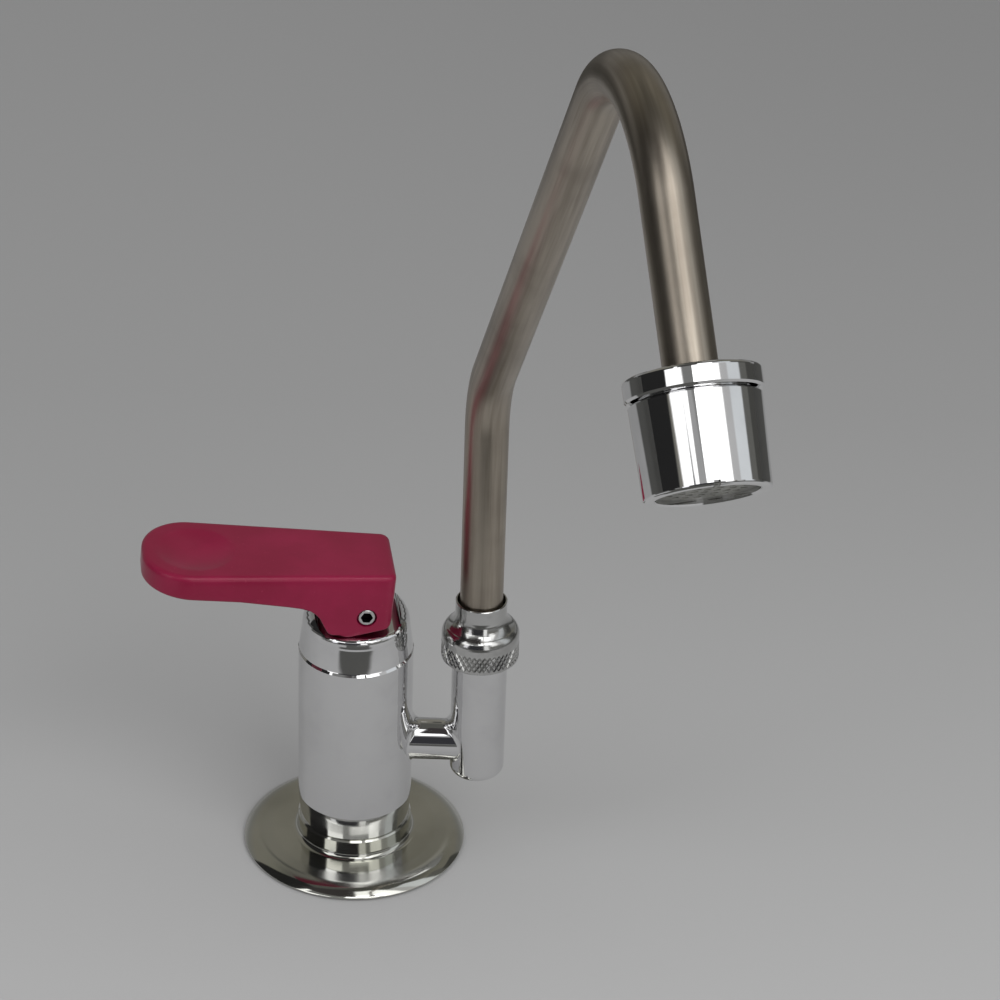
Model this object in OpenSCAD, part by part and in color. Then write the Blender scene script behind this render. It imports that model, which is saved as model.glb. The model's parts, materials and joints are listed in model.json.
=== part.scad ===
// Boiling water tap: a round body on a deck flange, a press lever on its bonnet, and a side arm
// with a socket that holds a swivelling spout. The origin is the centre of the deck seat, +Z is
// up and +X runs from the body to the spout's socket.

/* [Deck flange] */
// Radius of the flange's outer edge
flange_r = 26.5; // [26:0.25:30]
// Height of the flange's thin outer edge
flange_edge = 1.2; // [1:0.1:1.4]
// Height of the flange's crown where it meets the neck
flange_crown = 2; // [1.8:0.1:2.8]
// Height of the top of the flange's neck, where the body starts
neck_top = 7.5; // [6:0.25:8]

/* [Body] */
// Radius of the body, the neck and the bonnet's foot
body_r = 13.5; // [13.25:0.25:14.5]
// Height of the body from the neck to the bonnet
body_h = 47.5; // [46:0.5:52]
// Height of the side arm's axis above the deck
arm_z = 28.9; // [28:0.1:31]
// Outer radius of the side arm
arm_r = 5; // [4.6:0.1:5.2]
// Distance from the body's axis to the spout's axis
arm_reach = 29; // [28:0.5:34]

/* [Bonnet] */
// Height of the bonnet's dome
dome_h = 12.6; // [12.2:0.1:13]
// Radius of the dome's shoulder
dome_round = 6.4; // [6:0.1:6.8]
// Height of the lever's saddle above the bonnet's foot
saddle_h = 8.7; // [8.5:0.1:8.8]
// Half the saddle's length
saddle_half = 10.1; // [10:0.1:10.4]
// Radius of the saddle's rounded front and back edges
saddle_edge = 1.2; // [0.9:0.1:1.3]

/* [Lever] */
// Turn of the bonnet and the lever from the side arm's line, in degrees
lever_turn = 8.5; // [0:0.5:30]
// Upward tilt of the lever at rest, in degrees
lever_tilt = 5; // [4.5:0.5:6]
// Distance from the stem's axis to the pivot screw's axis
pin_offset = 1.4; // [1:0.1:1.5]
// Radius of the round heel that rocks on the saddle
heel_r = 3; // [2.9:0.05:3.1]
// Distance from the pin to the lever's tip
lever_reach = 51.7; // [44:0.1:58]
// Half the lever's width at its hub end
hub_half = 10; // [9.4:0.1:10.2]
// Half the lever's width at its tip
tip_half = 12.6; // [11.5:0.1:13.5]
// Radius of the tip's corners in plan
tip_round = 10.8; // [8:0.1:11.2]
// Radius of the lever's upper edges
lever_edge = 1.3; // [0.8:0.1:1.8]
// Distance from the tip back to the centre of the thumb dish
dish_back = 12; // [11.5:0.5:20]
// Radius of the thumb dish
dish_r = 9; // [7:0.5:10]
// Depth of the thumb dish
dish_depth = 1.3; // [0.8:0.1:1.8]
// Radius of the pivot screw
pin_r = 2.15; // [1.9:0.05:2.2]
// Width across the flats of the pivot screw's hexagon socket
pin_hex = 2.5; // [2:0.5:2.5]

/* [Spout socket] */
// Outer radius of the socket
socket_r = 6.5; // [6.4:0.05:6.8]
// Height of the socket's closed bottom
socket_bottom = 20.4; // [19:0.1:21]
// Height of the nut's lower edge
nut_z = 53.2; // [52:0.1:56]
// Height of the nut
nut_h = 15.5; // [14.5:0.1:16.5]
// Radius of the nut's knurled band
nut_r = 9.1; // [8.9:0.1:10]
// Height of the nut's knurled band
band_h = 5.9; // [5:0.1:6.2]
// Outer radius of the nut's neck
neck_r = 6; // [5.9:0.05:6.3]
// Number of knurl grooves in each direction
knurl_count = 48; // [40:4:48]
// Depth of the knurl grooves
knurl_depth = 0.28; // [0.26:0.01:0.3]
// Slant of the knurl grooves from upright, in degrees
knurl_slant = 32; // [30:1:33]

/* [Spout] */
// Outer radius of the spout's tube
tube_r = 5; // [5:0.05:5]
// Wall of the spout's tube
tube_wall = 1; // [0.8:0.1:1.2]
// Turn of the spout from the side arm's line, in degrees
spout_turn = -76; // [-170:2:170]
// Height where the riser starts to lean
riser_top = 114.3; // [100:0.1:130]
// Lean of the sloping run from upright, in degrees
slope_angle = 36.8699; // [30:0.0001:40]
// Length of the straight part of the sloping run
slope_len = 125.8; // [90:0.2:140]
// Slant of the falling leg from upright, in degrees
leg_angle = 41.2194; // [30:0.0001:45]
// Length of the falling leg from the upper bend to the nozzle's seam
leg_len = 36.2; // [28:0.2:50]
// Radius of both bends at the tube's centre
bend_r = 30; // [26:0.5:36]

/* [Nozzle] */
// Outer radius of the nozzle's collar
collar_r = 12.4; // [12.2:0.1:13.5]
// Height of the nozzle's collar
collar_h = 4; // [3.5:0.1:5]
// Length of the nozzle's shell below the collar
shell_h = 17.6; // [16.5:0.1:20]
// Outer radius at the top of the shell
shell_top_r = 11.9; // [11.8:0.05:12.1]
// Outer radius at the mouth of the shell
shell_mouth_r = 11.4; // [11.3:0.05:11.7]

/* [Under the worktop] */
// Space for the worktop between the deck seat and the backing washer
worktop_gap = 30; // [12:1:34]
// Outer radius of the threaded shank
shank_r = 8; // [7.5:0.1:8]
// Length of the shank below the deck seat
shank_drop = 52; // [48:1:60]
// Outer radius of the inlet pipe
inlet_r = 4; // [3.5:0.5:4]
// Length of the inlet pipe below the shank
inlet_drop = 24; // [18:1:40]
// Outer radius of the rubber washer under the worktop
backing_r = 17; // [15:0.5:20]
// Thickness of the rubber washer under the worktop
backing_h = 2.5; // [2:0.25:3]
// Outer radius of the steel washer under the rubber one
clamp_r = 16; // [14:0.5:20]
// Thickness of the steel washer
clamp_h = 1.5; // [1:0.25:2]
// Width across the flats of the lock nut
lock_flats = 24; // [22:0.5:27]
// Height of the lock nut
lock_h = 6; // [5:0.5:8]

/* [Fits] */
// Radial clearance of the spout's tail and tube in the socket
swivel_gap = 0.05; // [0.03:0.01:0.08]
// Radial clearance of the stem in the bonnet
stem_gap = 0.05; // [0.03:0.01:0.08]
// Radial clearance of the pivot screw in the stem's eye
pin_gap = 0.05; // [0.03:0.01:0.08]
// Clearance between fixed pieces that are assembled together
seat_gap = 0.05; // [0.02:0.01:0.1]

/* [Hidden] */
$fn = 96;

body_top = neck_top + body_h;
saddle_z = body_top + saddle_h;

saddle_corner = 2.4;
lip_half = saddle_half - 2;
dome_mid_r = dome_round - 0.2;
dome_mid_z = dome_h - dome_round;

// The heel's centre in the lever's own frame, with the pin at the origin
heel_x = -4;
heel_z = -2.4;
heel_gap = 0.04;
pin_h = saddle_h + heel_gap + heel_r + heel_x * sin(lever_tilt) - heel_z * cos(lever_tilt);
pin_z = body_top + pin_h;
pin_slip = 0.52;

// Flange, with a thin rounded lip that stands just clear of the worktop
flange_lip_r = 0.45;
flange_lift = 0.3;
flange_fillet_r = 1.1;
flange_bore_r = shank_r + 0.2;
seam_r = 0.35;

// Gasket under the flange
gasket_r = 24;
gasket_bore_r = 13;
gasket_h = 1;

// Shank, seat and waterway
shank_bore_r = 5.2;
shank_top = neck_top + 12;
shank_end = -shank_drop;
washer_bore_r = shank_r + 0.25;
backing_foot = -worktop_gap - backing_h;
clamp_foot = backing_foot - clamp_h;
lock_gap = 0.1;
seat_floor = shank_top + 3;
seat_top = seat_floor + 1.6;
seat_bore_r = 2.8;
seat_body_r = 4.4;
chamber_r = 9.4;
bonnet_thread_r = 11;
bonnet_plug_h = 8;
port_r = 2.75;
spigot_r = 4;

// Stem and spring
stem_r = 3;
washer_r = 4.4;
washer_h = 2;
cup_r = 5.6;
stem_foot = seat_top + 0.04;
cup_top = stem_foot + washer_h + 2.2;
spring_collar_z = body_top - 15.5;
spring_collar_h = 1.6;
spring_pocket_top = body_top - 2.6;
spring_wire_r = 0.5;
spring_coil_r = 4.9;
spring_turns = 5;
blade_half_y = 2.4;
blade_r = 4;

// Lever, in its own frame with the pin at the origin
lever_top = 11;
hub_end = 6.1;
slot_half_x = 5;
slot_half_y = 2.7;
tip_under = 5.4;
dish_ball_r = (dish_r * dish_r + dish_depth * dish_depth) / (2 * dish_depth);

// Socket, nut and the spout's lower end
socket_bore_r = tube_r + swivel_gap;
socket_shoulder = nut_z + 0.9;
socket_thread_r = socket_r - 0.25;
socket_top = nut_z + 6.8;
ring_h = 1.2;
ring_out_r = 6.1;
ring_groove = 0.25;
glide_h = 1;
nut_cavity_top = socket_top + ring_h + glide_h + 0.2;
nut_bore_r = socket_r + 0.1;
nut_lip_r = tube_r + 0.2;
knurl_share = 0.8;
tail_foot = arm_z + 4.1;
tail_top = tail_foot + 16;
tail_spigot_h = 6;
tail_bore_r = 2.8;
tail_ring_wire = 0.9;
tail_ring_zs = [tail_foot + 4, tail_foot + 9.5];
tube_bore_r = tube_r - tube_wall;

// Nozzle, in its own frame with the seam under the collar at the origin and +Z along the flow
collar_plug_r = 10.2;
collar_plug_h = 8.6;
shell_bore_r = collar_plug_r + seat_gap;
tube_end = 3;
lip_r = 9.3;
lip_h = 1.1;
straightener_h = 5.6;
straightener_top = shell_h - lip_h - straightener_h;
jet_r = 0.75;
jet_pitch = 2.35;

// Points of an arc about [x, y], from angle a to angle b
function arc(x, y, r, a, b, steps = 8) =
    [for (i = [0 : steps]) let (t = a + (b - a) * i / steps) [x + r * cos(t), y + r * sin(t)]];

// Zigzag flank points of a ring-grooved thread of outer radius r from z0 to z1
function thread_flank(r, depth, pitch, z0, z1) =
    let (n = floor((z1 - z0) / pitch))
    [for (i = [0 : n - 1], k = [0, 1])
        [k == 0 ? r : r - depth, z0 + (i + 0.25 + k * 0.5) * pitch]];

module tube(r, bore, z0, z1) {
    translate([0, 0, z0]) difference() {
        cylinder(r = r, h = z1 - z0);
        translate([0, 0, -1]) cylinder(r = bore, h = z1 - z0 + 2);
    }
}

module o_ring(mid_r, wire_r, z) {
    translate([0, 0, z]) rotate_extrude() translate([mid_r, 0]) circle(r = wire_r, $fn = 32);
}

// Pieces below the deck

module base_flange() {
    run = flange_r - flange_lip_r - body_r - flange_fillet_r;
    fall = flange_crown - flange_edge;
    crown_r = (run * run + fall * fall) / (2 * fall);
    slope = asin(run / crown_r);
    color([0.78, 0.79, 0.8]) difference() {
        rotate_extrude() polygon(concat(
            [[flange_bore_r, flange_lift], [flange_r - flange_lip_r, flange_lift]],
            arc(flange_r - flange_lip_r, flange_edge - flange_lip_r, flange_lip_r, -60, 90 - slope, 6),
            arc(body_r + flange_fillet_r, flange_crown - crown_r, crown_r, 90 - slope, 90, 16),
            arc(body_r + flange_fillet_r, flange_crown + flange_fillet_r, flange_fillet_r, 265, 180, 8),
            [[body_r, neck_top - seam_r], [body_r - seam_r, neck_top], [flange_bore_r, neck_top]]
        ));
        tube(gasket_r + 0.2, gasket_bore_r - 0.2, -1, gasket_h + 0.02);
    }
}

module deck_gasket() {
    color([0.12, 0.12, 0.13]) tube(gasket_r, gasket_bore_r, 0, gasket_h);
}

module shank() {
    color([0.8, 0.72, 0.45]) rotate_extrude() polygon(concat(
        [[shank_bore_r, shank_end], [shank_r - 1, shank_end], [shank_r, shank_end + 1]],
        thread_flank(shank_r, 0.55, 1.5, shank_end + 1, -1),
        [[shank_r, -0.5], [shank_r, shank_top - 0.6], [shank_r - 0.6, shank_top]],
        [[shank_bore_r, shank_top]]
    ));
}

module backing_washer() {
    color([0.13, 0.13, 0.14]) tube(backing_r, washer_bore_r, backing_foot, -worktop_gap);
}

module clamp_washer() {
    color([0.72, 0.73, 0.75]) tube(clamp_r, washer_bore_r, clamp_foot, backing_foot);
}

module lock_nut() {
    chamfer_r = lock_flats / 2 + 0.4;
    color([0.8, 0.68, 0.38]) translate([0, 0, clamp_foot - lock_h]) difference() {
        intersection() {
            cylinder(r = lock_flats / sqrt(3), h = lock_h, $fn = 6);
            cylinder(r1 = chamfer_r, r2 = chamfer_r + lock_h, h = lock_h);
            cylinder(r1 = chamfer_r + lock_h, r2 = chamfer_r, h = lock_h);
        }
        translate([0, 0, -1]) cylinder(r = shank_r + lock_gap, h = lock_h + 2);
    }
}

module inlet_pipe() {
    color([0.72, 0.45, 0.2]) difference() {
        union() {
            translate([0, 0, shank_end - inlet_drop]) cylinder(r = inlet_r, h = inlet_drop + 10);
            translate([0, 0, shank_end]) cylinder(r = shank_bore_r - 0.02, h = 10);
        }
        translate([0, 0, shank_end - inlet_drop - 1]) cylinder(r = inlet_r - 1, h = inlet_drop + 12);
    }
}

// Fixed pieces above the deck

module body() {
    color([0.8, 0.81, 0.83]) difference() {
        rotate_extrude() polygon([
            [0, neck_top], [body_r - seam_r, neck_top], [body_r, neck_top + seam_r],
            [body_r, body_top - 0.5], [body_r - 0.5, body_top], [0, body_top]
        ]);
        translate([0, 0, neck_top - 1]) cylinder(r = shank_r + 0.02, h = shank_top - neck_top + 1.2);
        cylinder(r = seat_body_r + 0.02, h = body_top);
        translate([0, 0, seat_floor]) cylinder(r = chamber_r, h = body_top);
        translate([0, 0, body_top - bonnet_plug_h - 0.5])
            cylinder(r = bonnet_thread_r + seat_gap, h = bonnet_plug_h + 2);
        translate([0, 0, arm_z]) rotate([0, 90, 0]) cylinder(r = spigot_r, h = body_r + 1);
    }
}

module valve_seat() {
    color([0.8, 0.7, 0.42]) difference() {
        union() {
            translate([0, 0, shank_top + 0.3]) cylinder(r = seat_body_r, h = seat_floor - shank_top);
            translate([0, 0, seat_floor]) cylinder(r = 6.2, h = 0.9);
            translate([0, 0, seat_floor]) cylinder(r = 3.8, h = seat_top - seat_floor);
        }
        translate([0, 0, shank_top - 1]) cylinder(r = seat_bore_r, h = 8);
    }
}

module arm_flare(x, side) {
    translate([x, 0, 0]) rotate([0, side * 90, 0]) rotate_extrude() difference() {
        translate([0, -3]) square([arm_r + 2, 5.2]);
        translate([arm_r + 2.2, 2.4]) circle(r = 2.2);
        translate([arm_r, 2.4]) square([3, 3]);
    }
}

module side_arm() {
    color([0.8, 0.81, 0.83]) translate([0, 0, arm_z]) difference() {
        union() {
            difference() {
                union() {
                    translate([8, 0, 0]) rotate([0, 90, 0]) cylinder(r = arm_r, h = arm_reach - 8);
                    arm_flare(body_r - 0.2, 1);
                    arm_flare(arm_reach - socket_r + 0.2, -1);
                }
                translate([0, 0, -20]) cylinder(r = body_r, h = 40);
                translate([arm_reach, 0, -20]) cylinder(r = socket_r, h = 40);
            }
            translate([body_r - 3, 0, 0]) rotate([0, 90, 0])
                cylinder(r = spigot_r - 0.02, h = arm_reach - socket_r - body_r + 4);
        }
        rotate([0, 90, 0]) cylinder(r = port_r, h = arm_reach);
    }
}

module spout_socket() {
    color([0.8, 0.81, 0.83]) translate([arm_reach, 0, 0]) difference() {
        rotate_extrude() polygon(concat(
            [[0, socket_bottom]],
            arc(socket_r - 2.2, socket_bottom + 2.2, 2.2, -90, 0, 8),
            [[socket_r, socket_shoulder], [socket_thread_r, socket_shoulder]],
            thread_flank(socket_thread_r, 0.3, 1, socket_shoulder + 0.5, socket_top - 0.5),
            [[socket_thread_r, socket_top - 0.4], [socket_thread_r - 0.3, socket_top]],
            [[0, socket_top]]
        ));
        translate([0, 0, arm_z - port_r - 0.4]) cylinder(r = socket_bore_r, h = 60);
        translate([0, 0, arm_z]) rotate([0, -90, 0]) cylinder(r = spigot_r, h = socket_r + 1);
    }
}

module bonnet() {
    color([0.82, 0.83, 0.85]) translate([0, 0, body_top]) rotate([0, 0, lever_turn]) difference() {
        rotate_extrude() polygon(concat(
            [[0, -bonnet_plug_h], [bonnet_thread_r - 0.5, -bonnet_plug_h]],
            [[bonnet_thread_r, -bonnet_plug_h + 0.5], [bonnet_thread_r, 0]],
            [[body_r - 0.5, 0], [body_r - 0.15, 0.35]],
            arc(dome_mid_r, dome_mid_z, dome_round, 0, 90, 20),
            [[0, dome_h]]
        ));
        for (side = [0, 1]) mirror([0, side, 0]) translate([0, -0.01, saddle_h]) saddle_cut();
        intersection() {
            saddle_lip();
            translate([-lip_half, -20, 0]) cube([2 * lip_half, 40, 20]);
        }
        translate([0, 0, -bonnet_plug_h - 1]) cylinder(r = stem_r + stem_gap, h = 30);
        translate([0, 0, -bonnet_plug_h - 1])
            cylinder(r = 6.6, h = spring_pocket_top - body_top + bonnet_plug_h + 1);
    }
}

// Half of the saddle across the dome, with round lower corners at both ends
module saddle_cut() {
    rotate([-90, 0, 0]) mirror([0, 1, 0]) linear_extrude(height = 20) union() {
        translate([-saddle_half + saddle_corner, 0]) square([2 * (saddle_half - saddle_corner), 10]);
        translate([-saddle_half, saddle_corner]) square([2 * saddle_half, 10]);
        for (side = [-1, 1]) translate([side * (saddle_half - saddle_corner), saddle_corner])
            circle(r = saddle_corner);
    }
}

// Ring that rounds off the edge between the dome's wall and the saddle's flat
module saddle_lip() {
    mid_z = saddle_h - saddle_edge;
    reach = dome_round - saddle_edge;
    mid_r = dome_mid_r - 0.03 + sqrt(reach * reach - (mid_z - dome_mid_z) * (mid_z - dome_mid_z));
    start = asin((mid_z - dome_mid_z) / reach) - 3;
    rotate_extrude() polygon(concat(
        [[body_r + 2, saddle_h + 1], [body_r + 2, mid_z]],
        arc(mid_r, mid_z, saddle_edge, start, 90, 10),
        [[mid_r, saddle_h + 1]]
    ));
}

module bonnet_ring() {
    color([0.1, 0.1, 0.11]) tube(bonnet_thread_r - 0.2, chamber_r + 0.2,
        body_top - bonnet_plug_h - 0.45, body_top - bonnet_plug_h - 0.05);
}

module knurl_groove(side) {
    cutter = knurl_depth * sqrt(2);
    translate([nut_r, 0, band_h / 2]) rotate([side * knurl_slant, 0, 0]) rotate([0, 0, 45])
        cube([cutter, cutter, knurl_share * band_h], center = true);
}

module knurled_nut() {
    shoulder_r = 3;
    flare_r = 4.6;
    turn = 52;
    shoulder_z = band_h + 0.4;
    flare_z = band_h + 6.5;
    color([0.8, 0.81, 0.83]) translate([arm_reach, 0, nut_z]) difference() {
        rotate_extrude() polygon(concat(
            [[nut_bore_r, 0], [nut_r - 0.4, 0], [nut_r, 0.4], [nut_r, band_h]],
            arc(nut_r - shoulder_r, shoulder_z, shoulder_r, 0, turn, 12),
            arc(neck_r + flare_r, flare_z, flare_r, 180 + turn, 180, 12),
            [[neck_r, nut_h - 0.15], [neck_r - 0.15, nut_h]],
            [[nut_lip_r + 0.45, nut_h], [nut_lip_r, nut_h - 1.2]],
            [[nut_lip_r, nut_cavity_top - nut_z], [nut_bore_r - 0.1, nut_cavity_top - nut_z]],
            [[nut_bore_r - 0.1, 1.2], [nut_bore_r, 1.2]]
        ));
        for (i = [0 : knurl_count - 1], side = [-1, 1])
            rotate([0, 0, i * 360 / knurl_count]) knurl_groove(side);
    }
}

module glide_ring() {
    color([0.93, 0.93, 0.9]) translate([arm_reach, 0, 0])
        tube(6.3, tube_r + 0.15, socket_top + ring_h + 0.12, socket_top + ring_h + 0.12 + glide_h);
}

// Valve stem and what it carries

module stem() {
    eye_z = pin_z;
    color([0.75, 0.76, 0.78]) rotate([0, 0, lever_turn]) difference() {
        union() {
            translate([0, 0, stem_foot + washer_h]) cylinder(r = cup_r - 1.2, h = 2);
            translate([0, 0, cup_top - 0.6]) cylinder(r1 = cup_r - 1.2, r2 = stem_r, h = 1.8);
            translate([0, 0, stem_foot + washer_h]) cylinder(r = stem_r, h = saddle_z - stem_foot - 2.6);
            translate([0, 0, spring_collar_z]) cylinder(r = 6, h = spring_collar_h);
            intersection() {
                translate([pin_offset - blade_r, -blade_half_y, saddle_z - 1.6])
                    cube([2 * blade_r, 2 * blade_half_y, eye_z - saddle_z + 6]);
                union() {
                    translate([pin_offset, 0, eye_z]) rotate([90, 0, 0])
                        cylinder(r = blade_r, h = 20, center = true);
                    translate([0, 0, saddle_z - 2]) cylinder(r = stem_r, h = eye_z - saddle_z + 2);
                }
            }
        }
        translate([pin_offset, 0, eye_z]) {
            for (x = [-pin_slip, 0]) translate([x, 0, 0]) rotate([90, 0, 0])
                cylinder(r = pin_r + pin_gap, h = 20, center = true);
            translate([-pin_slip, -10, -pin_r - pin_gap]) cube([pin_slip, 20, 2 * (pin_r + pin_gap)]);
        }
        translate([0, 0, body_top + 2]) tube(stem_r + 1, stem_r - 0.9, -0.8, 0.8);
        translate([0, 0, stem_foot]) cylinder(r = 1.02, h = washer_h + 5);
    }
}

module seat_washer() {
    color([0.12, 0.12, 0.13]) tube(washer_r, 1.1, stem_foot, stem_foot + washer_h);
}

module washer_screw() {
    color([0.78, 0.72, 0.5]) union() {
        translate([0, 0, stem_foot - 0.5]) cylinder(r = 1, h = washer_h + 5);
        translate([0, 0, stem_foot - 1.1]) cylinder(r1 = 1.6, r2 = 2, h = 1.08);
    }
}

module stem_ring() {
    color([0.1, 0.1, 0.11]) o_ring(stem_r - 0.45, 0.44, body_top + 2);
}

module stem_spring() {
    z0 = spring_collar_z + spring_collar_h + spring_wire_r + 0.02;
    z1 = spring_pocket_top - spring_wire_r - 0.02;
    sides = 8;
    steps = spring_turns * 20;
    points = [for (i = [0 : steps], k = [0 : sides - 1])
        let (a = 360 * spring_turns * i / steps, t = 360 * k / sides,
             r = spring_coil_r + spring_wire_r * cos(t))
        [r * cos(a), r * sin(a), z0 + (z1 - z0) * i / steps + spring_wire_r * sin(t)]];
    skin = [for (i = [0 : steps - 1], k = [0 : sides - 1])
        let (n = (k + 1) % sides)
        [i * sides + k, (i + 1) * sides + k, (i + 1) * sides + n, i * sides + n]];
    start_cap = [for (k = [0 : sides - 1]) k];
    end_cap = [for (k = [sides - 1 : -1 : 0]) steps * sides + k];
    color([0.7, 0.71, 0.73]) polyhedron(points, concat(skin, [start_cap, end_cap]));
}

// Lever and its pivot

module at_lever() {
    rotate([0, 0, lever_turn]) translate([pin_offset, 0, pin_z]) rotate([0, lever_tilt, 0])
        children();
}

// Upright post with a rounded upper edge, for the corners of the lever's outline
module edge_post(r) {
    rotate_extrude($fn = 64) polygon(concat(
        [[0, -6], [r, -6]],
        arc(r - lever_edge, lever_top - lever_edge, lever_edge, 0, 90, 5),
        [[0, lever_top]]
    ));
}

module lever_outline() {
    hull() for (side = [-1, 1]) {
        translate([hub_end - 2.4, side * (hub_half - 2.4), 0]) edge_post(2.4);
        translate([tip_round - lever_reach, side * (tip_half - tip_round), 0]) edge_post(tip_round);
    }
}

// Side view of the lever: a thin paddle that thickens into a hub with a slanted heel
module lever_side() {
    polygon(concat(
        [[-lever_reach - 1, lever_top + 1], [-lever_reach - 1, tip_under + 0.2]],
        [[-40, tip_under - 0.5], [-29.5, 4.3], [-18.4, 2.9]],
        arc(-16.4, -4.5, 7, 80, 38, 6),
        [[-8.8, -4.1], [-7.9, -4.75]],
        arc(heel_x, heel_z, heel_r, 235, 285, 1),
        arc(hub_end - 1.5, -1.8, 1.5, 285, 360, 4),
        [[hub_end, lever_top + 1]]
    ));
}

module lever() {
    color([0.55, 0.05, 0.14]) at_lever()
        difference() {
            intersection() {
                lever_outline();
                union() {
                    rotate([90, 0, 0]) linear_extrude(height = 40, center = true) lever_side();
                    translate([heel_x, 0, heel_z]) rotate([90, 0, 0])
                        cylinder(r = heel_r, h = 40, center = true);
                }
            }
            translate([-lever_reach + dish_back, 0, lever_top - dish_depth + dish_ball_r])
                sphere(r = dish_ball_r);
            rotate([90, 0, 0]) cylinder(r = slot_half_x, h = 2 * slot_half_y, center = true);
            translate([-slot_half_x, -slot_half_y, -8]) cube([2 * slot_half_x, 2 * slot_half_y, 8]);
            translate([0, slot_half_y + 4, 0]) rotate([90, 0, 0]) cylinder(r = pin_r + 0.02, h = 20);
            translate([0, -hub_half, 0]) rotate([90, 0, 0]) cylinder(r = pin_r + 0.2, h = 4);
        }
}

module pivot_screw() {
    screw_len = hub_half + slot_half_y + 3.4;
    color([0.7, 0.7, 0.72]) at_lever()
        translate([0, -hub_half - 0.05, 0]) rotate([-90, 0, 0]) difference() {
            rotate_extrude() polygon([
                [0, 0], [pin_r - 0.3, 0], [pin_r, 0.3], [pin_r, screw_len - 0.3],
                [pin_r - 0.3, screw_len], [0, screw_len]
            ]);
            translate([0, 0, -0.1]) cylinder(r = pin_hex / sqrt(3), h = 2.1, $fn = 6);
        }
}

// Spout

module spout_turned() {
    translate([arm_reach, 0, 0]) rotate([0, 0, spout_turn]) children();
}

// The frame at the upper end of the lower bend, with +Z along the sloping run
module at_slope() {
    translate([bend_r, 0, riser_top]) rotate([0, slope_angle, 0]) translate([-bend_r, 0, 0])
        children();
}

// The frame at the lower end of the upper bend, with +Z down the leg
module at_leg() {
    at_slope() translate([bend_r, 0, slope_len]) rotate([0, -slope_angle, 0])
        rotate([0, 180 - leg_angle, 0]) translate([-bend_r, 0, 0]) children();
}

// A whole ring of bent tube that passes upright through the origin
module bend_ring() {
    translate([bend_r, 0, 0]) rotate([90, 0, 0]) rotate_extrude() translate([bend_r, 0])
        difference() {
            circle(r = tube_r);
            circle(r = tube_bore_r);
        }
}

// Everything a ring needs on the upper or the lower side of the z = 0 plane
module bend_half(upper) {
    size = 2 * (bend_r + tube_r) + 10;
    translate([-tube_r - 5, -size / 2, upper ? 0 : -size]) cube(size);
}

module spout_tube() {
    color([0.66, 0.63, 0.58]) spout_turned() union() {
        difference() {
            tube(tube_r, tube_bore_r, tail_top, riser_top);
            translate([0, 0, socket_top + 0.06]) tube(tube_r + 1, tube_r - ring_groove, 0, ring_h);
        }
        intersection() {
            translate([0, 0, riser_top]) bend_ring();
            translate([0, 0, riser_top]) bend_half(true);
            at_slope() bend_half(false);
        }
        at_slope() tube(tube_r, tube_bore_r, 0, slope_len);
        intersection() {
            at_slope() translate([0, 0, slope_len]) bend_ring();
            at_slope() translate([0, 0, slope_len]) bend_half(true);
            at_leg() bend_half(false);
        }
        at_leg() tube(tube_r, tube_bore_r, 0, leg_len + tube_end);
    }
}

module retaining_ring() {
    color([0.6, 0.61, 0.63]) spout_turned() translate([0, 0, socket_top + 0.1]) difference() {
        tube(ring_out_r, tube_r - ring_groove + 0.02, 0, ring_h - 0.08);
        translate([0, -1, -1]) cube([10, 2, 4]);
    }
}

module spout_tail() {
    color([0.8, 0.7, 0.42]) spout_turned() difference() {
        union() {
            translate([0, 0, tail_foot]) cylinder(r = tube_r, h = tail_top - tail_foot);
            translate([0, 0, tail_top - 1]) cylinder(r = tube_bore_r - 0.02, h = tail_spigot_h + 1);
        }
        translate([0, 0, tail_foot - 1]) cylinder(r = tail_bore_r, h = 40);
        for (z = tail_ring_zs) translate([0, 0, z]) tube(tube_r + 1, tube_r - 1.35, -1, 1);
    }
}

module tail_ring(z) {
    color([0.1, 0.1, 0.11]) spout_turned() o_ring(tube_r - 0.45, tail_ring_wire / 2, z);
}

// Nozzle

module at_nozzle() {
    spout_turned() at_leg() translate([0, 0, leg_len]) children();
}

module nozzle_collar() {
    color([0.8, 0.81, 0.83]) at_nozzle() difference() {
        union() {
            rotate_extrude() polygon(concat(
                [[0, 0], [collar_r - 0.4, 0], [collar_r, -0.4]],
                arc(collar_r - 0.7, -collar_h + 0.7, 0.7, 0, -80, 5),
                [[tube_r + 0.6, -collar_h - 0.25], [0, -collar_h - 0.25]]
            ));
            cylinder(r = collar_plug_r, h = collar_plug_h);
        }
        translate([0, 0, -collar_h - 1]) cylinder(r = tube_r + 0.02, h = collar_h + tube_end + 1.05);
        cylinder(r = tube_bore_r, h = 20);
        translate([0, 0, tube_end + 1.6]) cylinder(r1 = tube_bore_r, r2 = 8.6, h = 4.01);
    }
}

module nozzle_ring() {
    color([0.12, 0.12, 0.13]) at_nozzle()
        tube(shell_bore_r - 0.1, 8.4, collar_plug_h + 0.03, straightener_top - 0.03);
}

module nozzle_shell() {
    color([0.8, 0.81, 0.83]) at_nozzle() difference() {
        rotate_extrude() polygon(concat(
            [[shell_bore_r, 0.3], [shell_top_r - 0.5, 0.3], [shell_top_r, 0.8]],
            arc(shell_mouth_r - 0.55, shell_h - 0.55, 0.55, 0, 90, 5),
            [[lip_r + 0.3, shell_h], [lip_r, shell_h - 0.3], [lip_r, shell_h - lip_h]],
            [[shell_bore_r, shell_h - lip_h]]
        ));
        rotate([0, 0, 186]) translate([lip_r - 1, -0.6, shell_h - 0.9]) cube([5, 1.2, 2]);
    }
}

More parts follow.
